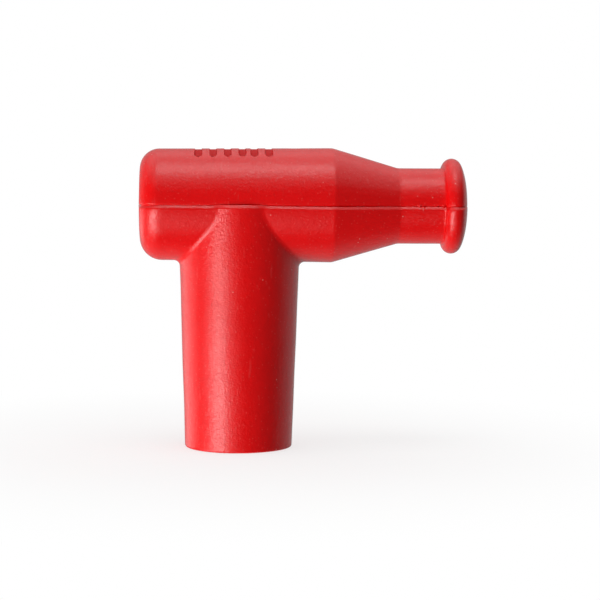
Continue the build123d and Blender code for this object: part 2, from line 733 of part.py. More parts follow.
# ---------------------------------------------------------------- hand over
os.makedirs("parts", exist_ok=True)
finish(boot.part, "boot")
finish(core.part, "core")
finish(end_plug.part, "end_plug")
finish(end_seal.part, "end_seal")
finish(cross_contact.part, "cross_contact")
finish(resistor_rod.part, "resistor_rod")
finish(resistor_winding.part, "resistor_winding")
finish(resistor_sleeve.part, "resistor_sleeve")
finish(resistor_cap_back, "resistor_cap_back")
finish(resistor_cap_front, "resistor_cap_front")
finish(spring_seat.part, "spring_seat")
finish(contact_spring.part, "contact_spring")
finish(cable_screw.part, "cable_screw")
finish(plug_terminal.part, "plug_terminal")
finish(lock_washer.part, "lock_washer")
finish(clip_leg_left.part, "clip_leg_left")
finish(clip_leg_right.part, "clip_leg_right")
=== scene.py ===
import json
import math
import random

import bmesh
import bpy
import numpy as np
from mathutils import Matrix, Vector


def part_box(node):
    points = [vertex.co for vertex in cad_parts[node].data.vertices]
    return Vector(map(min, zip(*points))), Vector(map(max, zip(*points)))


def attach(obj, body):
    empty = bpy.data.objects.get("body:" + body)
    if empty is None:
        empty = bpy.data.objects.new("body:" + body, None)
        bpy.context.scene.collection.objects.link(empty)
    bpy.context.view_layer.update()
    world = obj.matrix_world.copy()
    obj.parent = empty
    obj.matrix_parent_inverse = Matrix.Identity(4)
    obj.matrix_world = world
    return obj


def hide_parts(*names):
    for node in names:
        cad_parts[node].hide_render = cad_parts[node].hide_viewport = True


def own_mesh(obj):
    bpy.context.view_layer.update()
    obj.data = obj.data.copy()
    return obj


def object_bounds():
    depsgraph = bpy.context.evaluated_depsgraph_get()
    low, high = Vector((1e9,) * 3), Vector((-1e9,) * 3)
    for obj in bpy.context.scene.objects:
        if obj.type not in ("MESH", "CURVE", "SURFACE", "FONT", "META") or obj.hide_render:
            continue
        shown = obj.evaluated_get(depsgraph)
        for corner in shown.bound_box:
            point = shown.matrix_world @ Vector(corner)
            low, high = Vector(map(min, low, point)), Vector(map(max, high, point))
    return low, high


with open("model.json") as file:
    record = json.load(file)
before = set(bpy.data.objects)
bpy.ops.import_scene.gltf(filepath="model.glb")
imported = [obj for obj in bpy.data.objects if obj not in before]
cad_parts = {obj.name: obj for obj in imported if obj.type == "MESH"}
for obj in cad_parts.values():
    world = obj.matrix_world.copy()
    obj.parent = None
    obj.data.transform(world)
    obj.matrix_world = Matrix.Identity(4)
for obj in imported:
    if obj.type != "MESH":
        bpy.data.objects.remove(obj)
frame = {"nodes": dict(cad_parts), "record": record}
CAD_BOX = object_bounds()

MM = 0.001
MOUNTS = {m["name"]: m for m in frame["record"]["mounts"]}
AXIS_Z = MOUNTS["lead_bore"]["pos_m"][2]  # height of the barrel's axis


# ---------------------------------------------------------------- node graphs
class Graph:
    """A material's node graph, built one node at a time. Texture space is metres."""

    def __init__(self, name):
        self.material = bpy.data.materials.new(name)
        self.material.use_nodes = True
        self.tree = self.material.node_tree
        self.shader = self.tree.nodes["Principled BSDF"]
        self.place = self.node("ShaderNodeTexCoord").outputs["Object"]

    def node(self, kind, **settings):
        made = self.tree.nodes.new(kind)
        for key, value in settings.items():
            setattr(made, key, value)
        return made

    def feed(self, socket, value):
        """Sets an input to a number or colour, or links it to another node's output."""
        if isinstance(value, bpy.types.NodeSocket):
            self.tree.links.new(value, socket)
        elif isinstance(value, tuple) and len(value) == 3 and socket.type == "RGBA":
            socket.default_value = (*value, 1.0)
        else:
            socket.default_value = value

    def set(self, **inputs):
        """Feeds the Principled shader's inputs, named with underscores for spaces."""
        for key, value in inputs.items():
            self.feed(self.shader.inputs[key.replace("_", " ")], value)

    def math(self, operation, a, b=0.0, c=0.0, clamp=False):
        made = self.node("ShaderNodeMath", operation=operation, use_clamp=clamp)
        for socket, value in zip(made.inputs, (a, b, c)):
            self.feed(socket, value)
        return made.outputs[0]

    def stretch(self, scale, turn=(0, 0, 0), shift=(0, 0, 0)):
        """Texture space, scaled, turned and shifted."""
        made = self.node("ShaderNodeMapping")
        self.feed(made.inputs["Vector"], self.place)
        self.feed(made.inputs["Location"], shift)
        self.feed(made.inputs["Rotation"], turn)
        self.feed(made.inputs["Scale"], scale)
        return made.outputs[0]

    def noise(self, size, detail=3.0, roughness=0.5, distortion=0.0, where=None):
        """Cloudy noise from 0 to 1, with blobs about size metres across."""
        made = self.node("ShaderNodeTexNoise")
        self.feed(made.inputs["Vector"], where or self.place)
        self.feed(made.inputs["Scale"], 1.0 / size)
        self.feed(made.inputs["Detail"], detail)
        self.feed(made.inputs["Roughness"], roughness)
        self.feed(made.inputs["Distortion"], distortion)
        return made.outputs["Fac"]

    def cells(self, size, where=None):
        """Scattered points, one to a cell of size metres: distance to the nearest, and its lot."""
        made = self.node("ShaderNodeTexVoronoi")
        self.feed(made.inputs["Vector"], where or self.place)
        self.feed(made.inputs["Scale"], 1.0 / size)
        lot = self.node("ShaderNodeSeparateColor")
        self.feed(lot.inputs[0], made.outputs["Color"])
        distance = self.math("MULTIPLY", made.outputs["Distance"], size)
        return distance, lot.outputs[0]

    def specks(self, size, radius, share, where=None):
        """1 in small round specks in that share of the cells, 0 elsewhere."""
        distance, lot = self.cells(size, where)
        near = self.ramp(distance, radius * 0.5, radius, 1.0, 0.0)
        return self.math("MULTIPLY", near, self.math("LESS_THAN", lot, share))

    def edges(self, low=0.52, high=0.62):
        """1 on sharp outside edges, 0 on flat faces."""
        return self.ramp(self.node("ShaderNodeNewGeometry").outputs["Pointiness"], low, high)

    def creases(self, low=0.40, high=0.46):
        """1 deep in sharp inside corners, 0 on flat faces."""
        return self.ramp(self.node("ShaderNodeNewGeometry").outputs["Pointiness"], low, high, 1.0, 0.0)

    def ramp(self, value, low, high, bottom=0.0, top=1.0):
        """value taken smoothly from bottom at low to top at high."""
        made = self.node("ShaderNodeMapRange", interpolation_type="SMOOTHSTEP")
        for key, number in (
            ("Value", value),
            ("From Min", low),
            ("From Max", high),
            ("To Min", bottom),
            ("To Max", top),
        ):
            self.feed(made.inputs[key], number)
        return made.outputs[0]

    def blend(self, share, a, b):
        """Colour a at share 0, colour b at share 1."""
        made = self.node("ShaderNodeMix", data_type="RGBA")
        self.feed(made.inputs["Factor"], share)
        colours = [s for s in made.inputs if s.type == "RGBA"]
        self.feed(colours[0], a)
        self.feed(colours[1], b)
        return next(s for s in made.outputs if s.type == "RGBA")

    def bump(self, height, depth, base=None):
        """Bump of that depth in metres, laid over an earlier bump if one is given."""
        made = self.node("ShaderNodeBump")
        self.feed(made.inputs["Strength"], 1.0)
        self.feed(made.inputs["Distance"], depth)
        self.feed(made.inputs["Height"], height)
        if base is not None:
            self.feed(made.inputs["Normal"], base)
        return made.outputs[0]


def silicone():
    """Glossy red silicone with a fine grain, lint in the moulding, a few scuffs, painted shade in its
    inside corners and grip grooves, and specks of painted glints.
    """
    g = Graph("red_silicone")
    clouds = g.noise(9 * MM, detail=4)
    mottle = g.noise(0.95 * MM, detail=3, roughness=0.6)
    grain = g.noise(0.4 * MM, detail=4, roughness=0.65)
    dust = g.specks(1.3 * MM, 0.17 * MM, 0.07)
    fibres = g.specks(1.5 * MM, 0.15 * MM, 0.08, g.stretch((1.0, 0.8, 0.3), (0.3, 0.5, 0.2)))
    lint = g.math("MAXIMUM", dust, fibres)
    scuffs = g.ramp(g.noise(0.6 * MM, 2, where=g.stretch((1.0, 0.5, 0.12), (0.2, 0.55, 0.1))), 0.66, 0.74)
    colour = g.blend(clouds, (0.80, 0.0035, 0.0045), (0.90, 0.0045, 0.0055))
    colour = g.blend(g.ramp(mottle, 0.35, 0.75, 0.0, 0.25), colour, (0.70, 0.003, 0.004))
    colour = g.blend(g.math("MULTIPLY", g.edges(), 0.12), colour, (0.95, 0.10, 0.10))
    # painted shade: the red is darkened deep in sharp inside corners, standing in for the shade that
    # falls there
    colour = g.blend(g.math("MULTIPLY", g.creases(), 0.7), colour, (0.30, 0.001, 0.0015))
    colour = g.blend(g.math("MULTIPLY", scuffs, 0.05), colour, (1.0, 0.3, 0.28))
    colour = g.blend(g.math("MULTIPLY", lint, 0.45), colour, (1.0, 0.34, 0.30))
    # painted glints: pale pink specks over the red, standing in for the sparkle of light on the grain
    bloom_and_painted_glints = g.specks(0.55 * MM, 0.16 * MM, 0.35)
    colour = g.blend(g.math("MULTIPLY", bloom_and_painted_glints, 0.09), colour, (1.0, 0.30, 0.26))
    mark = g.node("ShaderNodeAttribute", attribute_name="grip_mark").outputs["Fac"]
    # painted shade: the grip grooves and the dash are darkened, standing in for the shade in these
    # recesses; they are also rougher and less shiny
    colour = g.blend(g.math("MULTIPLY", mark, 0.55), colour, (0.42, 0.001, 0.0015))
    gloss = g.math("ADD", g.ramp(mottle, 0.3, 0.7, 0.12, 0.18), g.math("MULTIPLY", scuffs, 0.08))
    gloss = g.math("ADD", gloss, g.math("MULTIPLY", mark, 0.4))
    waves = g.bump(mottle, 0.045 * MM)
    g.set(
        Base_Color=colour,
        Roughness=gloss,
        IOR=1.45,
        Specular_IOR_Level=g.ramp(mark, 0.0, 1.0, 0.5, 0.15),
        Subsurface_Weight=0.1,
        Subsurface_Scale=0.4 * MM,
        Subsurface_Radius=(1.0, 0.25, 0.15),
        Normal=g.bump(lint, 0.03 * MM, g.bump(grain, 0.065 * MM, waves)),
    )
    return g.material


def phenolic():
    """Dark brown moulded phenolic: mottled filler, a satin skin and paler rubbed edges."""
    g = Graph("phenolic")
    filler = g.noise(0.5 * MM, detail=5, roughness=0.7)
    flow = g.noise(3 * MM, detail=2, distortion=1.5)
    colour = g.blend(g.ramp(filler, 0.35, 0.7), (0.022, 0.011, 0.007), (0.060, 0.030, 0.018))
    colour = g.blend(g.math("MULTIPLY", flow, 0.5), colour, (0.035, 0.018, 0.012))
    colour = g.blend(g.math("MULTIPLY", g.edges(), 0.4), colour, (0.16, 0.09, 0.055))
    g.set(
        Base_Color=colour,
        Roughness=g.ramp(filler, 0.3, 0.7, 0.3, 0.48),
        Normal=g.bump(filler, 0.02 * MM),
    )
    return g.material


def turned_metal(name, clean, tarnish, rough, along=(1, 0, 0)):
    """Metal from the lathe: fine rings round that axis, a patchy tarnish and bright edges."""
    g = Graph(name)
    fine = tuple(1.0 if step else 0.02 for step in along)
    rings = g.noise(0.06 * MM, detail=2, where=g.stretch(fine))
    patches = g.noise(2.2 * MM, detail=4, roughness=0.6)
    pits = g.specks(0.5 * MM, 0.05 * MM, 0.15)
    colour = g.blend(g.ramp(patches, 0.4, 0.75), clean, tarnish)
    colour = g.blend(g.math("MULTIPLY", rings, 0.25), colour, tarnish)
    colour = g.blend(g.edges(), colour, clean)
    g.set(
        Base_Color=colour,
        Metallic=1.0,
        Roughness=g.ramp(patches, 0.3, 0.75, rough, rough + 0.16),
        Normal=g.bump(pits, -0.01 * MM, g.bump(rings, 0.004 * MM)),
    )
    return g.material


def wire_metal(name, clean, dull, rough):
    """Drawn wire: die lines along it, and a thin uneven film of oil or oxide."""
    g = Graph(name)
    lines = g.noise(0.05 * MM, detail=2, where=g.stretch((0.3, 1.0, 1.0)))
    film = g.noise(0.9 * MM, detail=4, roughness=0.65)
    g.set(
        Base_Color=g.blend(g.ramp(film, 0.35, 0.75), clean, dull),
        Metallic=1.0,
        Roughness=g.math(
            "ADD", g.ramp(film, 0.3, 0.7, rough, rough + 0.12), g.math("MULTIPLY", lines, 0.06)
        ),
        Normal=g.bump(lines, 0.003 * MM),
    )
    return g.material


def zinc_plate():
    """Bright zinc over pressed steel: faint spangle, and the yellow and blue of its passivation."""
    g = Graph("zinc_steel")
    _, spangle = g.cells(0.35 * MM)
    film = g.noise(1.4 * MM, detail=3)
    colour = g.blend(film, (0.66, 0.69, 0.76), (0.78, 0.74, 0.60))
    colour = g.blend(g.math("MULTIPLY", spangle, 0.25), colour, (0.5, 0.51, 0.53))
    g.set(
        Base_Color=colour,
        Metallic=1.0,
        Roughness=g.ramp(spangle, 0.0, 1.0, 0.24, 0.38),
        Normal=g.bump(spangle, 0.002 * MM),
    )
    return g.material


def glazed_ceramic():
    """Off-white ceramic with fine pores and a slight bloom."""
    g = Graph("ceramic")
    bloom_and_painted_glints = g.noise(1.8 * MM, detail=4)
    pores = g.specks(0.3 * MM, 0.04 * MM, 0.3)
    colour = g.blend(bloom_and_painted_glints, (0.80, 0.77, 0.70), (0.72, 0.68, 0.60))
    colour = g.blend(g.math("MULTIPLY", pores, 0.6), colour, (0.35, 0.32, 0.28))
    g.set(
        Base_Color=colour,
        Roughness=g.ramp(bloom_and_painted_glints, 0.3, 0.7, 0.25, 0.4),
        Normal=g.bump(pores, -0.02 * MM),
    )
    return g.material


def cement_coat():
    """Green-grey resistor cement, brushed on: lumpy, with grit in it."""
    g = Graph("resistor_coating")
    lumps = g.noise(0.8 * MM, detail=4, roughness=0.6)
    grit = g.specks(0.25 * MM, 0.05 * MM, 0.3)
    colour = g.blend(g.ramp(lumps, 0.3, 0.7), (0.10, 0.17, 0.12), (0.17, 0.25, 0.18))
    colour = g.blend(g.math("MULTIPLY", grit, 0.5), colour, (0.36, 0.40, 0.33))
    g.set(Base_Color=colour, Roughness=0.62, Normal=g.bump(grit, 0.02 * MM, g.bump(lumps, 0.06 * MM)))
    return g.material


def vulcan_fibre():
    """Red-brown vulcanised fibre: pressed layers and short paper fibres."""
    g = Graph("fibre")
    layers = g.noise(0.1 * MM, detail=2, where=g.stretch((1.0, 0.1, 0.1)))
    fibres = g.noise(0.3 * MM, detail=4, roughness=0.7, distortion=1.0)
    colour = g.blend(layers, (0.24, 0.045, 0.025), (0.36, 0.085, 0.045))
    colour = g.blend(g.ramp(fibres, 0.55, 0.75, 0.0, 0.5), colour, (0.45, 0.16, 0.09))
    g.set(
        Base_Color=colour,
        Roughness=g.ramp(fibres, 0.3, 0.7, 0.5, 0.7),
        Normal=g.bump(fibres, 0.02 * MM),
    )
    return g.material


UPRIGHT = (0, 0, 1)
FINISHES = {
    "red_silicone": silicone(),
    "phenolic": phenolic(),
    "brass": turned_metal("brass", (0.80, 0.57, 0.24), (0.42, 0.24, 0.09), 0.2),
    "plated_brass": turned_metal("plated_brass", (0.76, 0.74, 0.69), (0.50, 0.46, 0.38), 0.16),
    "spring_steel": wire_metal("spring_steel", (0.62, 0.62, 0.63), (0.32, 0.29, 0.25), 0.2),
    "zinc_steel": zinc_plate(),
    "resistance_wire": wire_metal("resistance_wire", (0.50, 0.46, 0.41), (0.22, 0.19, 0.17), 0.32),
    "ceramic": glazed_ceramic(),
    "resistor_coating": cement_coat(),
    "fibre": vulcan_fibre(),
}
UPRIGHT_BRASS = turned_metal("brass_upright", (0.80, 0.57, 0.24), (0.42, 0.24, 0.09), 0.2, UPRIGHT)


def finish_nodes():
    """Gives each CAD node its finish. The plug terminal was turned upright, not along the barrel."""
    for part in frame["record"]["subparts"]:
        node = frame["nodes"][part["node"]]
        upright = part["node"] == "plug_terminal"
        node.data.materials.clear()
        node.data.materials.append(UPRIGHT_BRASS if upright else FINISHES[part["material_slot"]])


finish_nodes()


# ---------------------------------------------------------------- silicone boot, as a distance field
# Millimetres in this section. A field is negative inside the silicone, and its zero surface is meshed.
AXIS = AXIS_Z / MM
MOULD_SHIFT = 0.3  # how far the lower half of the moulding sits forward of the upper half
BEVEL_TURN = math.radians(36)  # how far up the bevel on the lower half's top edge faces
BEVEL_DEPTH = 0.4  # how far behind the lower half's skin the bevel starts
UNDERCUT_TURN = math.radians(51)  # how far down the upper half's lower edge faces
UNDERCUT_RISE = 0.2
PARTING_LEAST = 0.2  # share of the bevel and undercut that is left at the parting line's ends
PARTING_FADE_BACK = (1.5, 6.0)  # distance from the middle plane over which they grow to full size
PARTING_FADE_OUTLET = (0.3, 1.6)  # the same, from the outlet's face
BARREL_BACK = -CAD_BOX[0].x / MM - 0.06
BACK_RADIUS = 9.9
END_LEAN = 0.35
END_ROUND_ABOVE = 3.5  # corner of the closed end, over and under the parting line
END_ROUND_BELOW = 4.0
SHOULDER = (16.5, 10.2)  # place along the barrel, radius
NECK = (28.3, 6.76)
EDGE_ROUND = 2.5
BEAD = (38.0, 6.88)
BEAD_ROUND = 1.65
BEAD_ROOT_ANGLE = 174  # degrees round the bead's section, from the outlet's way
BEAD_FACE_ANGLE = 27  # where the bead turns into the domed end face
FACE_DOME = 1.6  # how far the bead's slope carries into the end face
OUTLET = 40.55
MOUTH_RADIUS = 9.6
MOUTH_ROUND = 0.35
LEG_TOP_RADIUS = 11.05
JUNCTION_ROUND = 1.0
LEG_MEET = 0.86  # how much the inside corner's rounding shrinks towards the parting line
LEAD_BORE = MOUNTS["lead_bore"]["dims"]["r_mm"]
LEAD_RELIEF = LEAD_BORE + 0.45
PLUG_BORE = MOUNTS["plug_insulator_bore"]["dims"]["r_mm"]
PLUG_RELIEF = PLUG_BORE + 0.45
FLARE = 0.9
LEAD_RIBS = (33.2, 2.4, 0.9)  # sealing ribs: start of the first, pitch, width
PLUG_RIBS = (1.4, 4.2, 1.3)
RIB_ROUND = 0.15
BORE_EDGE_ROUND = 0.1
CORE_BACK = 15.22
CORE_RADIUS = 6.62
CORE_STEP = 20.02
CORE_TUBE_RADIUS = 5.02
CORE_FRONT = 30.02
CORE_BOTTOM = 24.48
CORE_LEG_RADIUS = 7.02
CORE_KEYS = (2.24, 6.04)
CORE_KEY_WIDTH = 1.56
CORE_KEY_DEPTH = 0.6
LOWER_EDGE_ROUND = 0.06
UPPER_EDGE_ROUND = 0.05
HUMP_RISE = 0.12  # where the leg's top shows at the parting line
HUMP_REACH = 4.5
GRIP_MIDDLES = (-7.4, -4.8, -2.2, 0.4, 2.5, 5.1)
GRIP_LENGTH = 10.2
GRIP_WIDTH = 1.2
GRIP_DEPTH = 0.15
GRIP_FLOOR_ROUND = 0.04
GRIP_EDGE_ROUND = 0.05
GRIP_LOWEST = 5.0  # grooves are only cut higher than this over the barrel's axis
DASH_MIDDLE = 9.7
DASH_LENGTH = 2.4
DASH_WIDTH = 0.9
NIBS = (  # scraps of flash at the parting line, as (x, y, height over it) and radius
    ((31.6, -6.78, 0.12), 0.17),
    ((32.3, -6.8, -0.1), 0.12),
    ((34.9, -6.78, 0.1), 0.11),
    ((35.9, -6.85, 0.12), 0.15),
    ((36.5, -7.0, -0.05), 0.12),
)
NIB_ROUND = 0.15
RIPPLE_COUNT = 9
RIPPLE_LENGTHS = (7, 22)
RIPPLE_DEPTH = 0.009
TABLE_STEP = 0.1
TABLE_REACH = 16.0
PROBE = 0.02  # half the distance over which a field's slope is taken
GRID_MARGIN = 0.7
GRID_STEP = 0.27
SETTLING_ROUNDS = 4  # each moves the mesh's points onto the surface along the slope
SETTLING_LEAST_SLOPE = 0.25
SETTLING_LIMIT = 0.15
GRIP_MARK_REACH = 0.07  # skin this near a groove or the dash gets its painted shade and matt finish


def rounded_outline(corners):
    """Outline through (along, radius, rounding) corners, with each rounding drawn as an arc."""
    points = []
    for i, (x, y, rounding) in enumerate(corners):
        here = np.array((x, y))
        before = np.array(corners[i - 1][:2]) - here
        after = np.array(corners[(i + 1) % len(corners)][:2]) - here
        if rounding == 0:
            points.append(here)
            continue
        a = before / np.linalg.norm(before)
        b = after / np.linalg.norm(after)
        half = math.acos(np.clip(a @ b, -1, 1)) / 2
        middle = (a + b) / np.linalg.norm(a + b)
        centre = here + middle * rounding / math.sin(half)
        start = here + a * rounding / math.tan(half) - centre
        end = here + b * rounding / math.tan(half) - centre
        sweep = math.pi - 2 * half
        for k in range(13):
            share = k / 12
            spoke = (
                math.sin((1 - share) * sweep) * start + math.sin(share * sweep) * end
            ) / math.sin(sweep)
            points.append(centre + spoke)
    return np.array(points)


class Turned:
    """Distance to a turned solid, looked up in a table over (along, radius)."""

    def __init__(self, outline, low, high):
        self.low = low
        along = np.arange(low, high, TABLE_STEP)
        radius = np.arange(0, TABLE_REACH, TABLE_STEP)
        u, v = (g.ravel() for g in np.meshgrid(along, radius, indexing="ij"))
        near = np.full(u.shape, 1e9)
        inside = np.zeros(u.shape, bool)
        for (x0, y0), (x1, y1) in zip(outline, np.roll(outline, -1, axis=0)):
            dx, dy = x1 - x0, y1 - y0
            if abs(dx) + abs(dy) < 1e-9:
                continue
            if y0 > 1e-6 or y1 > 1e-6:  # the axis itself isn't a surface
                share = np.clip(((u - x0) * dx + (v - y0) * dy) / (dx * dx + dy * dy), 0, 1)
                near = np.minimum(near, np.hypot(u - x0 - share * dx, v - y0 - share * dy))
            if dy:
                crosses = (v >= min(y0, y1)) & (v < max(y0, y1))
                inside ^= crosses & (u < x0 + (v - y0) * dx / dy)
        shape = (len(along), len(radius))
        self.table = np.where(inside, -near, near).reshape(shape).astype(np.float32)

    def __call__(self, along, radius):
        i = np.clip((along - self.low) / TABLE_STEP, 0, self.table.shape[0] - 1.001)
        j = np.clip(radius / TABLE_STEP, 0, self.table.shape[1] - 1.001)
        i0, j0 = i.astype(np.int32), j.astype(np.int32)
        a, b = i - i0, j - j0
        t = self.table
        return (t[i0, j0] * (1 - a) + t[i0 + 1, j0] * a) * (1 - b) + (
            t[i0, j0 + 1] * (1 - a) + t[i0 + 1, j0 + 1] * a
        ) * b


def sealing_ribs(first, pitch, width, crest, relief):
    """Corners of three flat-topped sealing ribs in a bore, as (along, radius, rounding)."""
    flank = relief - crest
    corners = []
    for i in range(3):
        start = first + i * pitch
        corners += [
            (start - flank, relief, RIB_ROUND),
            (start, crest, RIB_ROUND),
            (start + width, crest, RIB_ROUND),
            (start + width + flank, relief, RIB_ROUND),
        ]
    return corners


def barrel_outline(end_round):
    bead_root = BEAD[0] - math.sqrt(BEAD_ROUND**2 - (NECK[1] - BEAD[1]) ** 2)
    head = [
        (-BARREL_BACK, 0, 0),
        (-BARREL_BACK + END_LEAN, BACK_RADIUS, end_round),
        (*SHOULDER, EDGE_ROUND),
        (*NECK, EDGE_ROUND),
        (bead_root - 0.1, NECK[1], 0),
    ]
    points = list(rounded_outline([*head, (OUTLET, 0, 0)])[:-1])
    for i in range(25):  # round bead, from its root over the top to the end face
        turn = math.radians(BEAD_ROOT_ANGLE - (BEAD_ROOT_ANGLE - BEAD_FACE_ANGLE) * i / 24)
        points.append(np.array(BEAD) + BEAD_ROUND * np.array((math.cos(turn), math.sin(turn))))
    start, end = points[-1], np.array((OUTLET, LEAD_BORE))
    turn = math.radians(BEAD_FACE_ANGLE - 90)
    handle = start + np.array((math.cos(turn), math.sin(turn))) * FACE_DOME
    for i in range(1, 13):
        t = i / 12
        points.append((1 - t) ** 2 * start + 2 * t * (1 - t) * handle + t * t * end)
    points.append(np.array((OUTLET, 0)))
    return np.array(points)


def round_union(a, b, radius):
    """Union of two fields with a fillet in the inside corner."""
    return np.maximum(radius, np.minimum(a, b)) - np.hypot(
        np.maximum(radius - a, 0), np.maximum(radius - b, 0)
    )


def round_cut(a, b, radius):
    """What two fields share, with the outside edge rounded."""
    return np.minimum(-radius, np.maximum(a, b)) + np.hypot(
        np.maximum(a + radius, 0), np.maximum(b + radius, 0)
    )


def smooth(value, low, high):
    t = np.clip((value - low) / (high - low), 0, 1)
    return t * t * (3 - 2 * t)


def grip_groove(across, along, width, length, up, skin):
    """What a round-ended groove takes out of the top of the barrel."""
    beyond = np.maximum(np.abs(along) - (length - width) / 2, 0)
    slot = np.hypot(across, beyond) - width / 2
    return round_cut(np.maximum(slot, GRIP_LOWEST - up), -skin - GRIP_DEPTH, GRIP_FLOOR_ROUND)


def lead_way_outline():
    """Everything hollow along the barrel: the core's seat, and the lead's ribbed bore and mouth."""
    return rounded_outline(
        [
            (-CORE_BACK, 0, 0),
            (-CORE_BACK, CORE_RADIUS, 0),
            (CORE_STEP, CORE_RADIUS, 0),
            (CORE_STEP, CORE_TUBE_RADIUS, 0),
            (CORE_FRONT, CORE_TUBE_RADIUS, 0),
            (CORE_FRONT, LEAD_RELIEF, 0),
            *sealing_ribs(*LEAD_RIBS, LEAD_BORE, LEAD_RELIEF),
            (OUTLET - FLARE, LEAD_RELIEF, 0.5),
            (OUTLET + 2, LEAD_RELIEF + FLARE + 2, 0),
            (OUTLET + 2, 0, 0),
        ]
    )


def plug_way_outline():
    """Everything hollow up the leg: the flared mouth, the plug's ribbed bore and the core's leg."""
    corners = [(-2, 0, 0), (-2, PLUG_RELIEF + FLARE + 2, 0), (FLARE, PLUG_RELIEF, 0)]
    corners += sealing_ribs(*PLUG_RIBS, PLUG_BORE, PLUG_RELIEF)[1:]
    corners += [(CORE_BOTTOM, PLUG_RELIEF, 0), (CORE_BOTTOM, CORE_LEG_RADIUS, 0)]
    for place in CORE_KEYS:
        corners += [
            (CORE_BOTTOM + place, CORE_LEG_RADIUS, 0),
            (CORE_BOTTOM + place, CORE_LEG_RADIUS - CORE_KEY_DEPTH, 0),
            (CORE_BOTTOM + place + CORE_KEY_WIDTH, CORE_LEG_RADIUS - CORE_KEY_DEPTH, 0),
            (CORE_BOTTOM + place + CORE_KEY_WIDTH, CORE_LEG_RADIUS, 0),
        ]
    corners += [(AXIS, CORE_LEG_RADIUS, 0), (AXIS, 0, 0)]
    return rounded_outline(corners)


def ripples(count, seed):
    """Slow waves in random directions, for the slight unevenness of a soft moulding."""
    draw = random.Random(seed)
    waves = []
    for _ in range(count):
        heading = np.array([draw.gauss(0, 1) for _ in range(3)])
        length = draw.uniform(*RIPPLE_LENGTHS)
        wave = heading / np.linalg.norm(heading) * 2 * math.pi / length
        waves.append((wave, draw.uniform(0, 2 * math.pi)))
    return waves


def grip_marks(x, y, up, skin):
    """What the pairs of grip grooves and the dash take out of the top of the barrel."""
    marks = grip_groove(y, x - DASH_MIDDLE, DASH_WIDTH, DASH_LENGTH, up, skin)
    for middle in GRIP_MIDDLES:
        marks = np.minimum(marks, grip_groove(x - middle, y, GRIP_WIDTH, GRIP_LENGTH, up, skin))
    return marks


def boot_field():
    """The whole boot as one function of x, y and z, and its grip marks as another."""
    barrel = Turned(barrel_outline(END_ROUND_ABOVE), -BARREL_BACK - 3, OUTLET + 3)
    barrel_below = Turned(barrel_outline(END_ROUND_BELOW), -BARREL_BACK - 3, OUTLET + 3)
    lead_way = Turned(lead_way_outline(), -BARREL_BACK, OUTLET + 4)
    plug_way = Turned(plug_way_outline(), -4, AXIS + 3)
    slope = (LEG_TOP_RADIUS - MOUTH_RADIUS) / AXIS
    waves = ripples(RIPPLE_COUNT, 11)

    def field(x, y, z):
        up = z - AXIS
        r = np.hypot(y, up)
        rho = np.hypot(x, y)
        hump = HUMP_RISE * smooth(-np.abs(x), -HUMP_REACH - 1, -HUMP_REACH + 1)
        skin = barrel(x, r)
        fade = smooth(np.abs(y), *PARTING_FADE_BACK) * smooth(OUTLET - x, *PARTING_FADE_OUTLET)
        depth = PARTING_LEAST + (1 - PARTING_LEAST) * fade
        rise = up - hump - UNDERCUT_RISE * depth
        undercut = skin * math.cos(UNDERCUT_TURN) - rise * math.sin(UNDERCUT_TURN)
        upper = round_cut(skin, undercut, UPPER_EDGE_ROUND)
        shifted = barrel_below(x, np.hypot(y + MOULD_SHIFT, up))
        leg_side = (rho - MOUTH_RADIUS - slope * z) / math.hypot(1, slope)
        leg = round_cut(leg_side, -z, MOUTH_ROUND)
        meet = 1 - LEG_MEET * y * y / (y * y + up * up + 0.01)
        lower = round_union(shifted, leg, JUNCTION_ROUND * np.maximum(meet, 0.15))
        behind = lower + BEVEL_DEPTH * depth
        bevel = behind * math.cos(BEVEL_TURN) + (up - hump) * math.sin(BEVEL_TURN)
        lower = round_cut(lower, np.maximum(bevel, up - hump), LOWER_EDGE_ROUND)
        body = np.minimum(upper, lower)
        body = round_cut(body, -grip_marks(x, y, up, skin), GRIP_EDGE_ROUND)
        for place, radius in NIBS:
            nib = np.sqrt((x - place[0]) ** 2 + (y - place[1]) ** 2 + (up - place[2]) ** 2) - radius
            body = round_union(body, nib, NIB_ROUND)
        body = round_cut(body, -lead_way(x, r), BORE_EDGE_ROUND)
        body = round_cut(body, -plug_way(z, rho), BORE_EDGE_ROUND)
        for (kx, ky, kz), phase in waves:
            body = body + RIPPLE_DEPTH * np.sin(kx * x + ky * y + kz * z + phase)
        return body

    def marks(x, y, z):
        return grip_marks(x, y, z - AXIS, barrel(x, np.hypot(y, z - AXIS)))

    return field, marks


def layers(low, high, step, fine):
    """Grid planes from low to high, step apart, but finer within each (from, to, step) of fine."""
    planes = [low]
    while planes[-1] < high:
        gap = min([step] + [s for a, b, s in fine if a <= planes[-1] < b])
        planes.append(planes[-1] + gap)
    return np.array(planes)


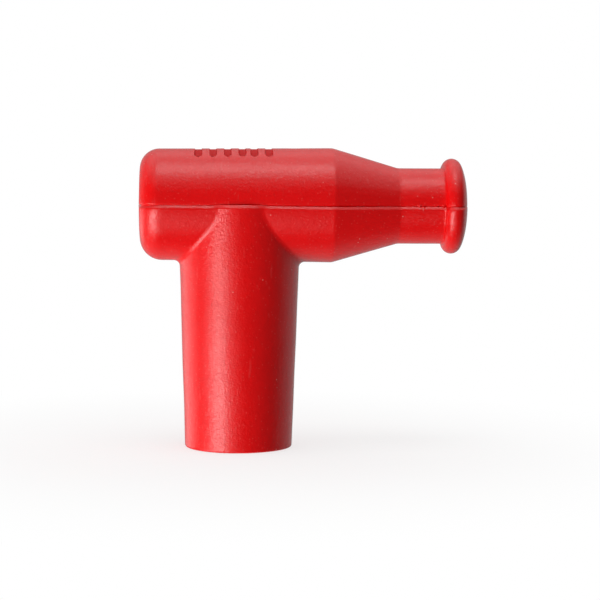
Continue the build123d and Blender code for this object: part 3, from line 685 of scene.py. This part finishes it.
def surface_net(field, xs, ys, zs):
    """Quad mesh of the field's zero surface: one point in each grid cell that it passes through."""
    value = np.stack([field(np.full((1, 1), x), ys[:, None], zs[None, :]) for x in xs])
    value = value.astype(np.float32)
    inside = value < 0
    counts = [len(xs) - 1, len(ys) - 1, len(zs) - 1]
    total = np.zeros(counts, np.int8)
    for i in (0, 1):
        for j in (0, 1):
            for k in (0, 1):
                total += inside[i : i + counts[0], j : j + counts[1], k : k + counts[2]]
    active = (total > 0) & (total < 8)
    cells = np.argwhere(active)
    number = np.full(counts, -1, np.int64)
    number[active] = np.arange(len(cells))
    sums = np.zeros((len(cells), 3))
    hits = np.zeros(len(cells))
    planes = (xs, ys, zs)
    for axis in range(3):
        others = [a for a in range(3) if a != axis]
        for p in (0, 1):
            for q in (0, 1):
                start = cells.copy()
                start[:, others[0]] += p
                start[:, others[1]] += q
                end = start.copy()
                end[:, axis] += 1
                a = value[tuple(start.T)]
                b = value[tuple(end.T)]
                cut = (a < 0) != (b < 0)
                share = np.where(cut, a / np.where(cut, a - b, 1), 0)
                spot = np.stack([planes[d][start[:, d]] for d in range(3)], axis=1)
                spot[:, axis] += share * (planes[axis][end[:, axis]] - planes[axis][start[:, axis]])
                sums += spot * cut[:, None]
                hits += cut
    points = sums / hits[:, None]
    quads = []
    for axis in range(3):
        u, v = [a for a in range(3) if a != axis]
        if axis == 1:
            u, v = v, u
        near = [slice(1, -1)] * 3
        near[axis] = slice(0, -1)
        far = [slice(1, -1)] * 3
        far[axis] = slice(1, None)
        first, second = inside[tuple(near)], inside[tuple(far)]
        for wanted, order in ((first & ~second, (0, 1, 2, 3)), (~first & second, (3, 2, 1, 0))):
            at = np.argwhere(wanted)
            at[:, u] += 1
            at[:, v] += 1
            ring = []
            for du, dv in ((-1, -1), (0, -1), (0, 0), (-1, 0)):
                cell = at.copy()
                cell[:, u] += du
                cell[:, v] += dv
                ring.append(number[tuple(cell.T)])
            quads.append(np.stack(ring, axis=1)[:, order])
    return points, np.concatenate(quads)


def slopes(field, p):
    """The field and its gradient at points p."""
    steps = np.eye(3) * PROBE
    rise = [field(*(p + s).T) - field(*(p - s).T) for s in steps]
    return field(*p.T), np.stack(rise, axis=1) / (2 * PROBE)


def silicone_boot():
    field, marks = boot_field()
    low, high = (np.array(c) / MM for c in CAD_BOX)
    step = GRID_STEP
    grip_zone = (GRIP_MIDDLES[0] - 1.5, DASH_MIDDLE + 2.5, 0.16)
    xs = layers(low[0] - GRID_MARGIN, high[0] + GRID_MARGIN, step, [grip_zone])
    ys = layers(low[1] - GRID_MARGIN, high[1] + GRID_MARGIN, step, [])
    seam_zone = (AXIS - 0.72, AXIS + 0.42, 0.06)
    top_zone = (high[2] - 1.2, high[2] + 0.3, 0.1)
    zs = layers(low[2] - GRID_MARGIN, high[2] + GRID_MARGIN, step, [seam_zone, top_zone])
    points, quads = surface_net(field, xs, ys, zs)
    for _ in range(SETTLING_ROUNDS):
        value, slope = slopes(field, points)
        steep = np.maximum((slope**2).sum(axis=1), SETTLING_LEAST_SLOPE)
        move = (value / steep)[:, None] * slope
        points -= np.clip(move, -SETTLING_LIMIT, SETTLING_LIMIT)
    _, slope = slopes(field, points)
    normals = slope / np.maximum(np.linalg.norm(slope, axis=1), 1e-6)[:, None]
    mesh = bpy.data.meshes.new("silicone_boot")
    mesh.from_pydata((points * MM).tolist(), [], quads.tolist())
    mesh.shade_smooth()
    mesh.normals_split_custom_set_from_vertices(normals.tolist())
    marked = mesh.attributes.new("grip_mark", "FLOAT", "POINT")
    near = marks(*points.T) < GRIP_MARK_REACH
    marked.data.foreach_set("value", near.astype(np.float32))
    made = bpy.data.objects.new("silicone_boot", mesh)
    bpy.context.scene.collection.objects.link(made)
    mesh.materials.append(FINISHES["red_silicone"])
    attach(made, "housing")
    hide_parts("boot")
    return made


silicone_boot()


# ---------------------------------------------------------------- contact spring
SPRING_WIRE = 0.25 * MM
SPRING_TURNS = 5
SPRING_SIDES = 14
SPRING_STEPS = 40  # to a turn
CLOSED_PITCH = 0.52 * MM  # of the first and last turns
TIP_HEIGHT = 0.35  # of a wire's rounded end, in wire radii


def tube(name, path, radius, sides):
    """Round wire along a path of points, with domed ends."""
    mesh = bmesh.new()
    rings = []
    side = Vector((0, 0, 1))
    last = len(path) - 1
    for i, point in enumerate(path):
        heading = (path[min(i + 1, last)] - path[max(i - 1, 0)]).normalized()
        side = (side - heading * side.dot(heading)).normalized()
        across = heading.cross(side)
        ring = []
        for k in range(sides):
            turn = 2 * math.pi * k / sides
            spoke = math.cos(turn) * side + math.sin(turn) * across
            ring.append(mesh.verts.new(point + radius * spoke))
        rings.append(ring)
    for before, after in zip(rings, rings[1:]):
        for k in range(sides):
            mesh.faces.new((before[k], before[k - 1], after[k - 1], after[k]))
    ends = (
        (rings[0], path[0], path[0] - path[1]),
        (rings[-1], path[-1], path[-1] - path[-2]),
    )
    for ring, place, out in ends:
        tip = mesh.verts.new(place + out.normalized() * radius * TIP_HEIGHT)
        for k in range(sides):
            rim = (ring[k - 1], ring[k]) if ring is rings[0] else (ring[k], ring[k - 1])
            mesh.faces.new((*rim, tip))
    bmesh.ops.recalc_face_normals(mesh, faces=mesh.faces)
    data = bpy.data.meshes.new(name)
    mesh.to_mesh(data)
    mesh.free()
    data.shade_smooth()
    made = bpy.data.objects.new(name, data)
    bpy.context.scene.collection.objects.link(made)
    return made


def spring():
    """Coil between the resistor's seat and the cable screw, which it lets move back."""
    low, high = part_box("contact_spring")
    mean = (high.z - low.z) / 2 - SPRING_WIRE
    middle = (high.z + low.z) / 2
    room = high.x - low.x - 2 * SPRING_WIRE
    path = []
    for i in range(SPRING_TURNS * SPRING_STEPS + 1):
        turns = i / SPRING_STEPS
        share = min(1.0, max(0.0, (turns - 1) / (SPRING_TURNS - 2)))
        eased = share * share * (3 - 2 * share)
        along = CLOSED_PITCH * turns + (room - CLOSED_PITCH * SPRING_TURNS) * eased
        turn = 2 * math.pi * turns
        path.append(
            Vector((low.x + SPRING_WIRE + along, mean * math.cos(turn), middle + mean * math.sin(turn)))
        )
    made = tube("spring_coil", path, SPRING_WIRE, SPRING_SIDES)
    made.data.materials.append(FINISHES["spring_steel"])
    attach(made, "housing")
    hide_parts("contact_spring")
    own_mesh(made)


spring()


# ---------------------------------------------------------------- stage
# Studio directions are azimuth and elevation in degrees seen from the cap: azimuth 0 is towards the
# camera, 90 towards +X. Brightness is relative to white paper.
CENTRE = (CAD_BOX[0] + CAD_BOX[1]) / 2
FLOOR_SIZE = 3.0
SHADOW_REACH = 0.09  # beyond this distance from the cap the floor is plain white
SHADOW_SHARE = 0.3  # how much of the floor's white comes from the lamps, beside the cap
LIGHT_REACH = 0.6
WALL_BEHIND = 0.42
GLOOM_IN_FRONT = 0.09
CEILING = 0.8
SOFTBOXES = {  # azimuth, elevation, width and height in degrees, brightness
    "key": (319, -12, 22, 13, 9.0),
    "low_left": (305, -31, 25, 31, 5.8),
    "low_front": (314, -32, 79, 53, 1.0),
    "left_card": (239, -10, 47, 16, 1.1),
    "overhead": (0, 79, 30, 23, 3.0),
}


def floor():
    """Pale floor at the plug mouth. Only the camera sees it, and it carries a faint shadow."""
    size = FLOOR_SIZE / 2
    mesh = bpy.data.meshes.new("floor")
    corners = [(-size, -size, 0), (size, -size, 0), (size, size, 0), (-size, size, 0)]
    mesh.from_pydata(corners, [], [(0, 1, 2, 3)])
    made = bpy.data.objects.new("floor", mesh)
    made.location.z = CAD_BOX[0].z - 0.05 * MM
    bpy.context.scene.collection.objects.link(made)
    for ray in ("diffuse", "glossy", "transmission", "shadow"):
        setattr(made, "visible_" + ray, False)
    g = Graph("pale_floor")
    away = g.node("ShaderNodeVectorMath", operation="LENGTH")
    g.feed(away.inputs[0], g.place)
    lit = g.ramp(away.outputs["Value"], SHADOW_REACH / 3, SHADOW_REACH, SHADOW_SHARE, 0.0)
    g.set(
        Base_Color=g.blend(lit, (0.0, 0.0, 0.0), (1.0, 1.0, 1.0)),
        Roughness=1.0,
        Specular_IOR_Level=0.0,
        Emission_Color=(1.0, 1.0, 1.0),
        Emission_Strength=g.math("SUBTRACT", 1.0, lit),
    )
    mesh.materials.append(g.material)


def softbox(name, azimuth, elevation, width, height, brightness):
    """Rectangular lamp that faces the cap and fills that many degrees of its view."""
    turn, rise = math.radians(azimuth), math.radians(elevation)
    away = Vector((math.sin(turn) * math.cos(rise), -math.cos(turn) * math.cos(rise), math.sin(rise)))
    lamp = bpy.data.lights.new(name, "AREA")
    lamp.shape = "RECTANGLE"
    lamp.size = 2 * LIGHT_REACH * math.tan(math.radians(width / 2))
    lamp.size_y = 2 * LIGHT_REACH * math.tan(math.radians(height / 2))
    lamp.energy = brightness * math.pi * lamp.size * lamp.size_y
    made = bpy.data.objects.new(name, lamp)
    made.location = CENTRE + away * LIGHT_REACH
    made.rotation_euler = away.to_track_quat("Z", "Y").to_euler()
    bpy.context.scene.collection.objects.link(made)


def studio_walls():
    """White to the camera. To the cap: a wall behind, gloom in front and a soft ceiling."""
    world = bpy.data.worlds.new("studio")
    world.use_nodes = True
    tree = world.node_tree
    where = tree.nodes.new("ShaderNodeTexCoord").outputs["Generated"]
    split = tree.nodes.new("ShaderNodeSeparateXYZ")
    tree.links.new(where, split.inputs[0])

    def ramp(value, low, high, bottom, top):
        made = tree.nodes.new("ShaderNodeMapRange")
        made.interpolation_type = "SMOOTHSTEP"
        for key, number in (("From Min", low), ("From Max", high), ("To Min", bottom), ("To Max", top)):
            made.inputs[key].default_value = number
        tree.links.new(value, made.inputs["Value"])
        return made.outputs[0]

    behind = ramp(split.outputs["Y"], -0.2, 0.35, GLOOM_IN_FRONT, WALL_BEHIND)
    above = ramp(split.outputs["Z"], 0.55, 0.8, 0.0, CEILING)
    both = tree.nodes.new("ShaderNodeMath")
    tree.links.new(behind, both.inputs[0])
    tree.links.new(above, both.inputs[1])
    path = tree.nodes.new("ShaderNodeLightPath")
    pick = tree.nodes.new("ShaderNodeMix")
    tree.links.new(path.outputs["Is Camera Ray"], pick.inputs["Factor"])
    tree.links.new(both.outputs[0], pick.inputs["A"])
    pick.inputs["B"].default_value = 1.0
    tree.links.new(pick.outputs["Result"], tree.nodes["Background"].inputs["Strength"])
    tree.nodes["Background"].inputs["Color"].default_value = (1, 1, 1, 1)
    bpy.context.scene.world = world


floor()
for name, (azimuth, elevation, width, height, brightness) in SOFTBOXES.items():
    softbox(name, azimuth, elevation, width, height, brightness)
studio_walls()

CAMERA_REACH = 0.32  # from the aim point, which is on the cap's middle plane
CAMERA_TURN = math.radians(-3)  # azimuth of the camera, seen from the aim point
CAMERA_HEIGHT = AXIS_Z + 6 * MM
AIM = Vector((0.01095, 0.0, 0.0264))
FRAME_WIDTH = 0.108  # width of the picture at the aim point
ROLL = math.radians(0.44)


def front_camera():
    """Camera in front of the cap, a little above the barrel's axis."""
    data = bpy.data.cameras.new("camera")
    data.sensor_width = 36.0
    place = AIM + CAMERA_REACH * Vector((math.sin(CAMERA_TURN), -math.cos(CAMERA_TURN), 0))
    place.z = CAMERA_HEIGHT
    data.lens = data.sensor_width * (place - AIM).length / FRAME_WIDTH
    data.clip_start = 0.01
    made = bpy.data.objects.new("camera", data)
    look = (place - AIM).to_track_quat("Z", "Y").to_matrix().to_4x4()
    made.matrix_world = Matrix.Translation(place) @ look @ Matrix.Rotation(ROLL, 4, "Z")
    bpy.context.scene.collection.objects.link(made)
    bpy.context.scene.camera = made


front_camera()
bpy.context.scene.view_settings.view_transform = "Standard"
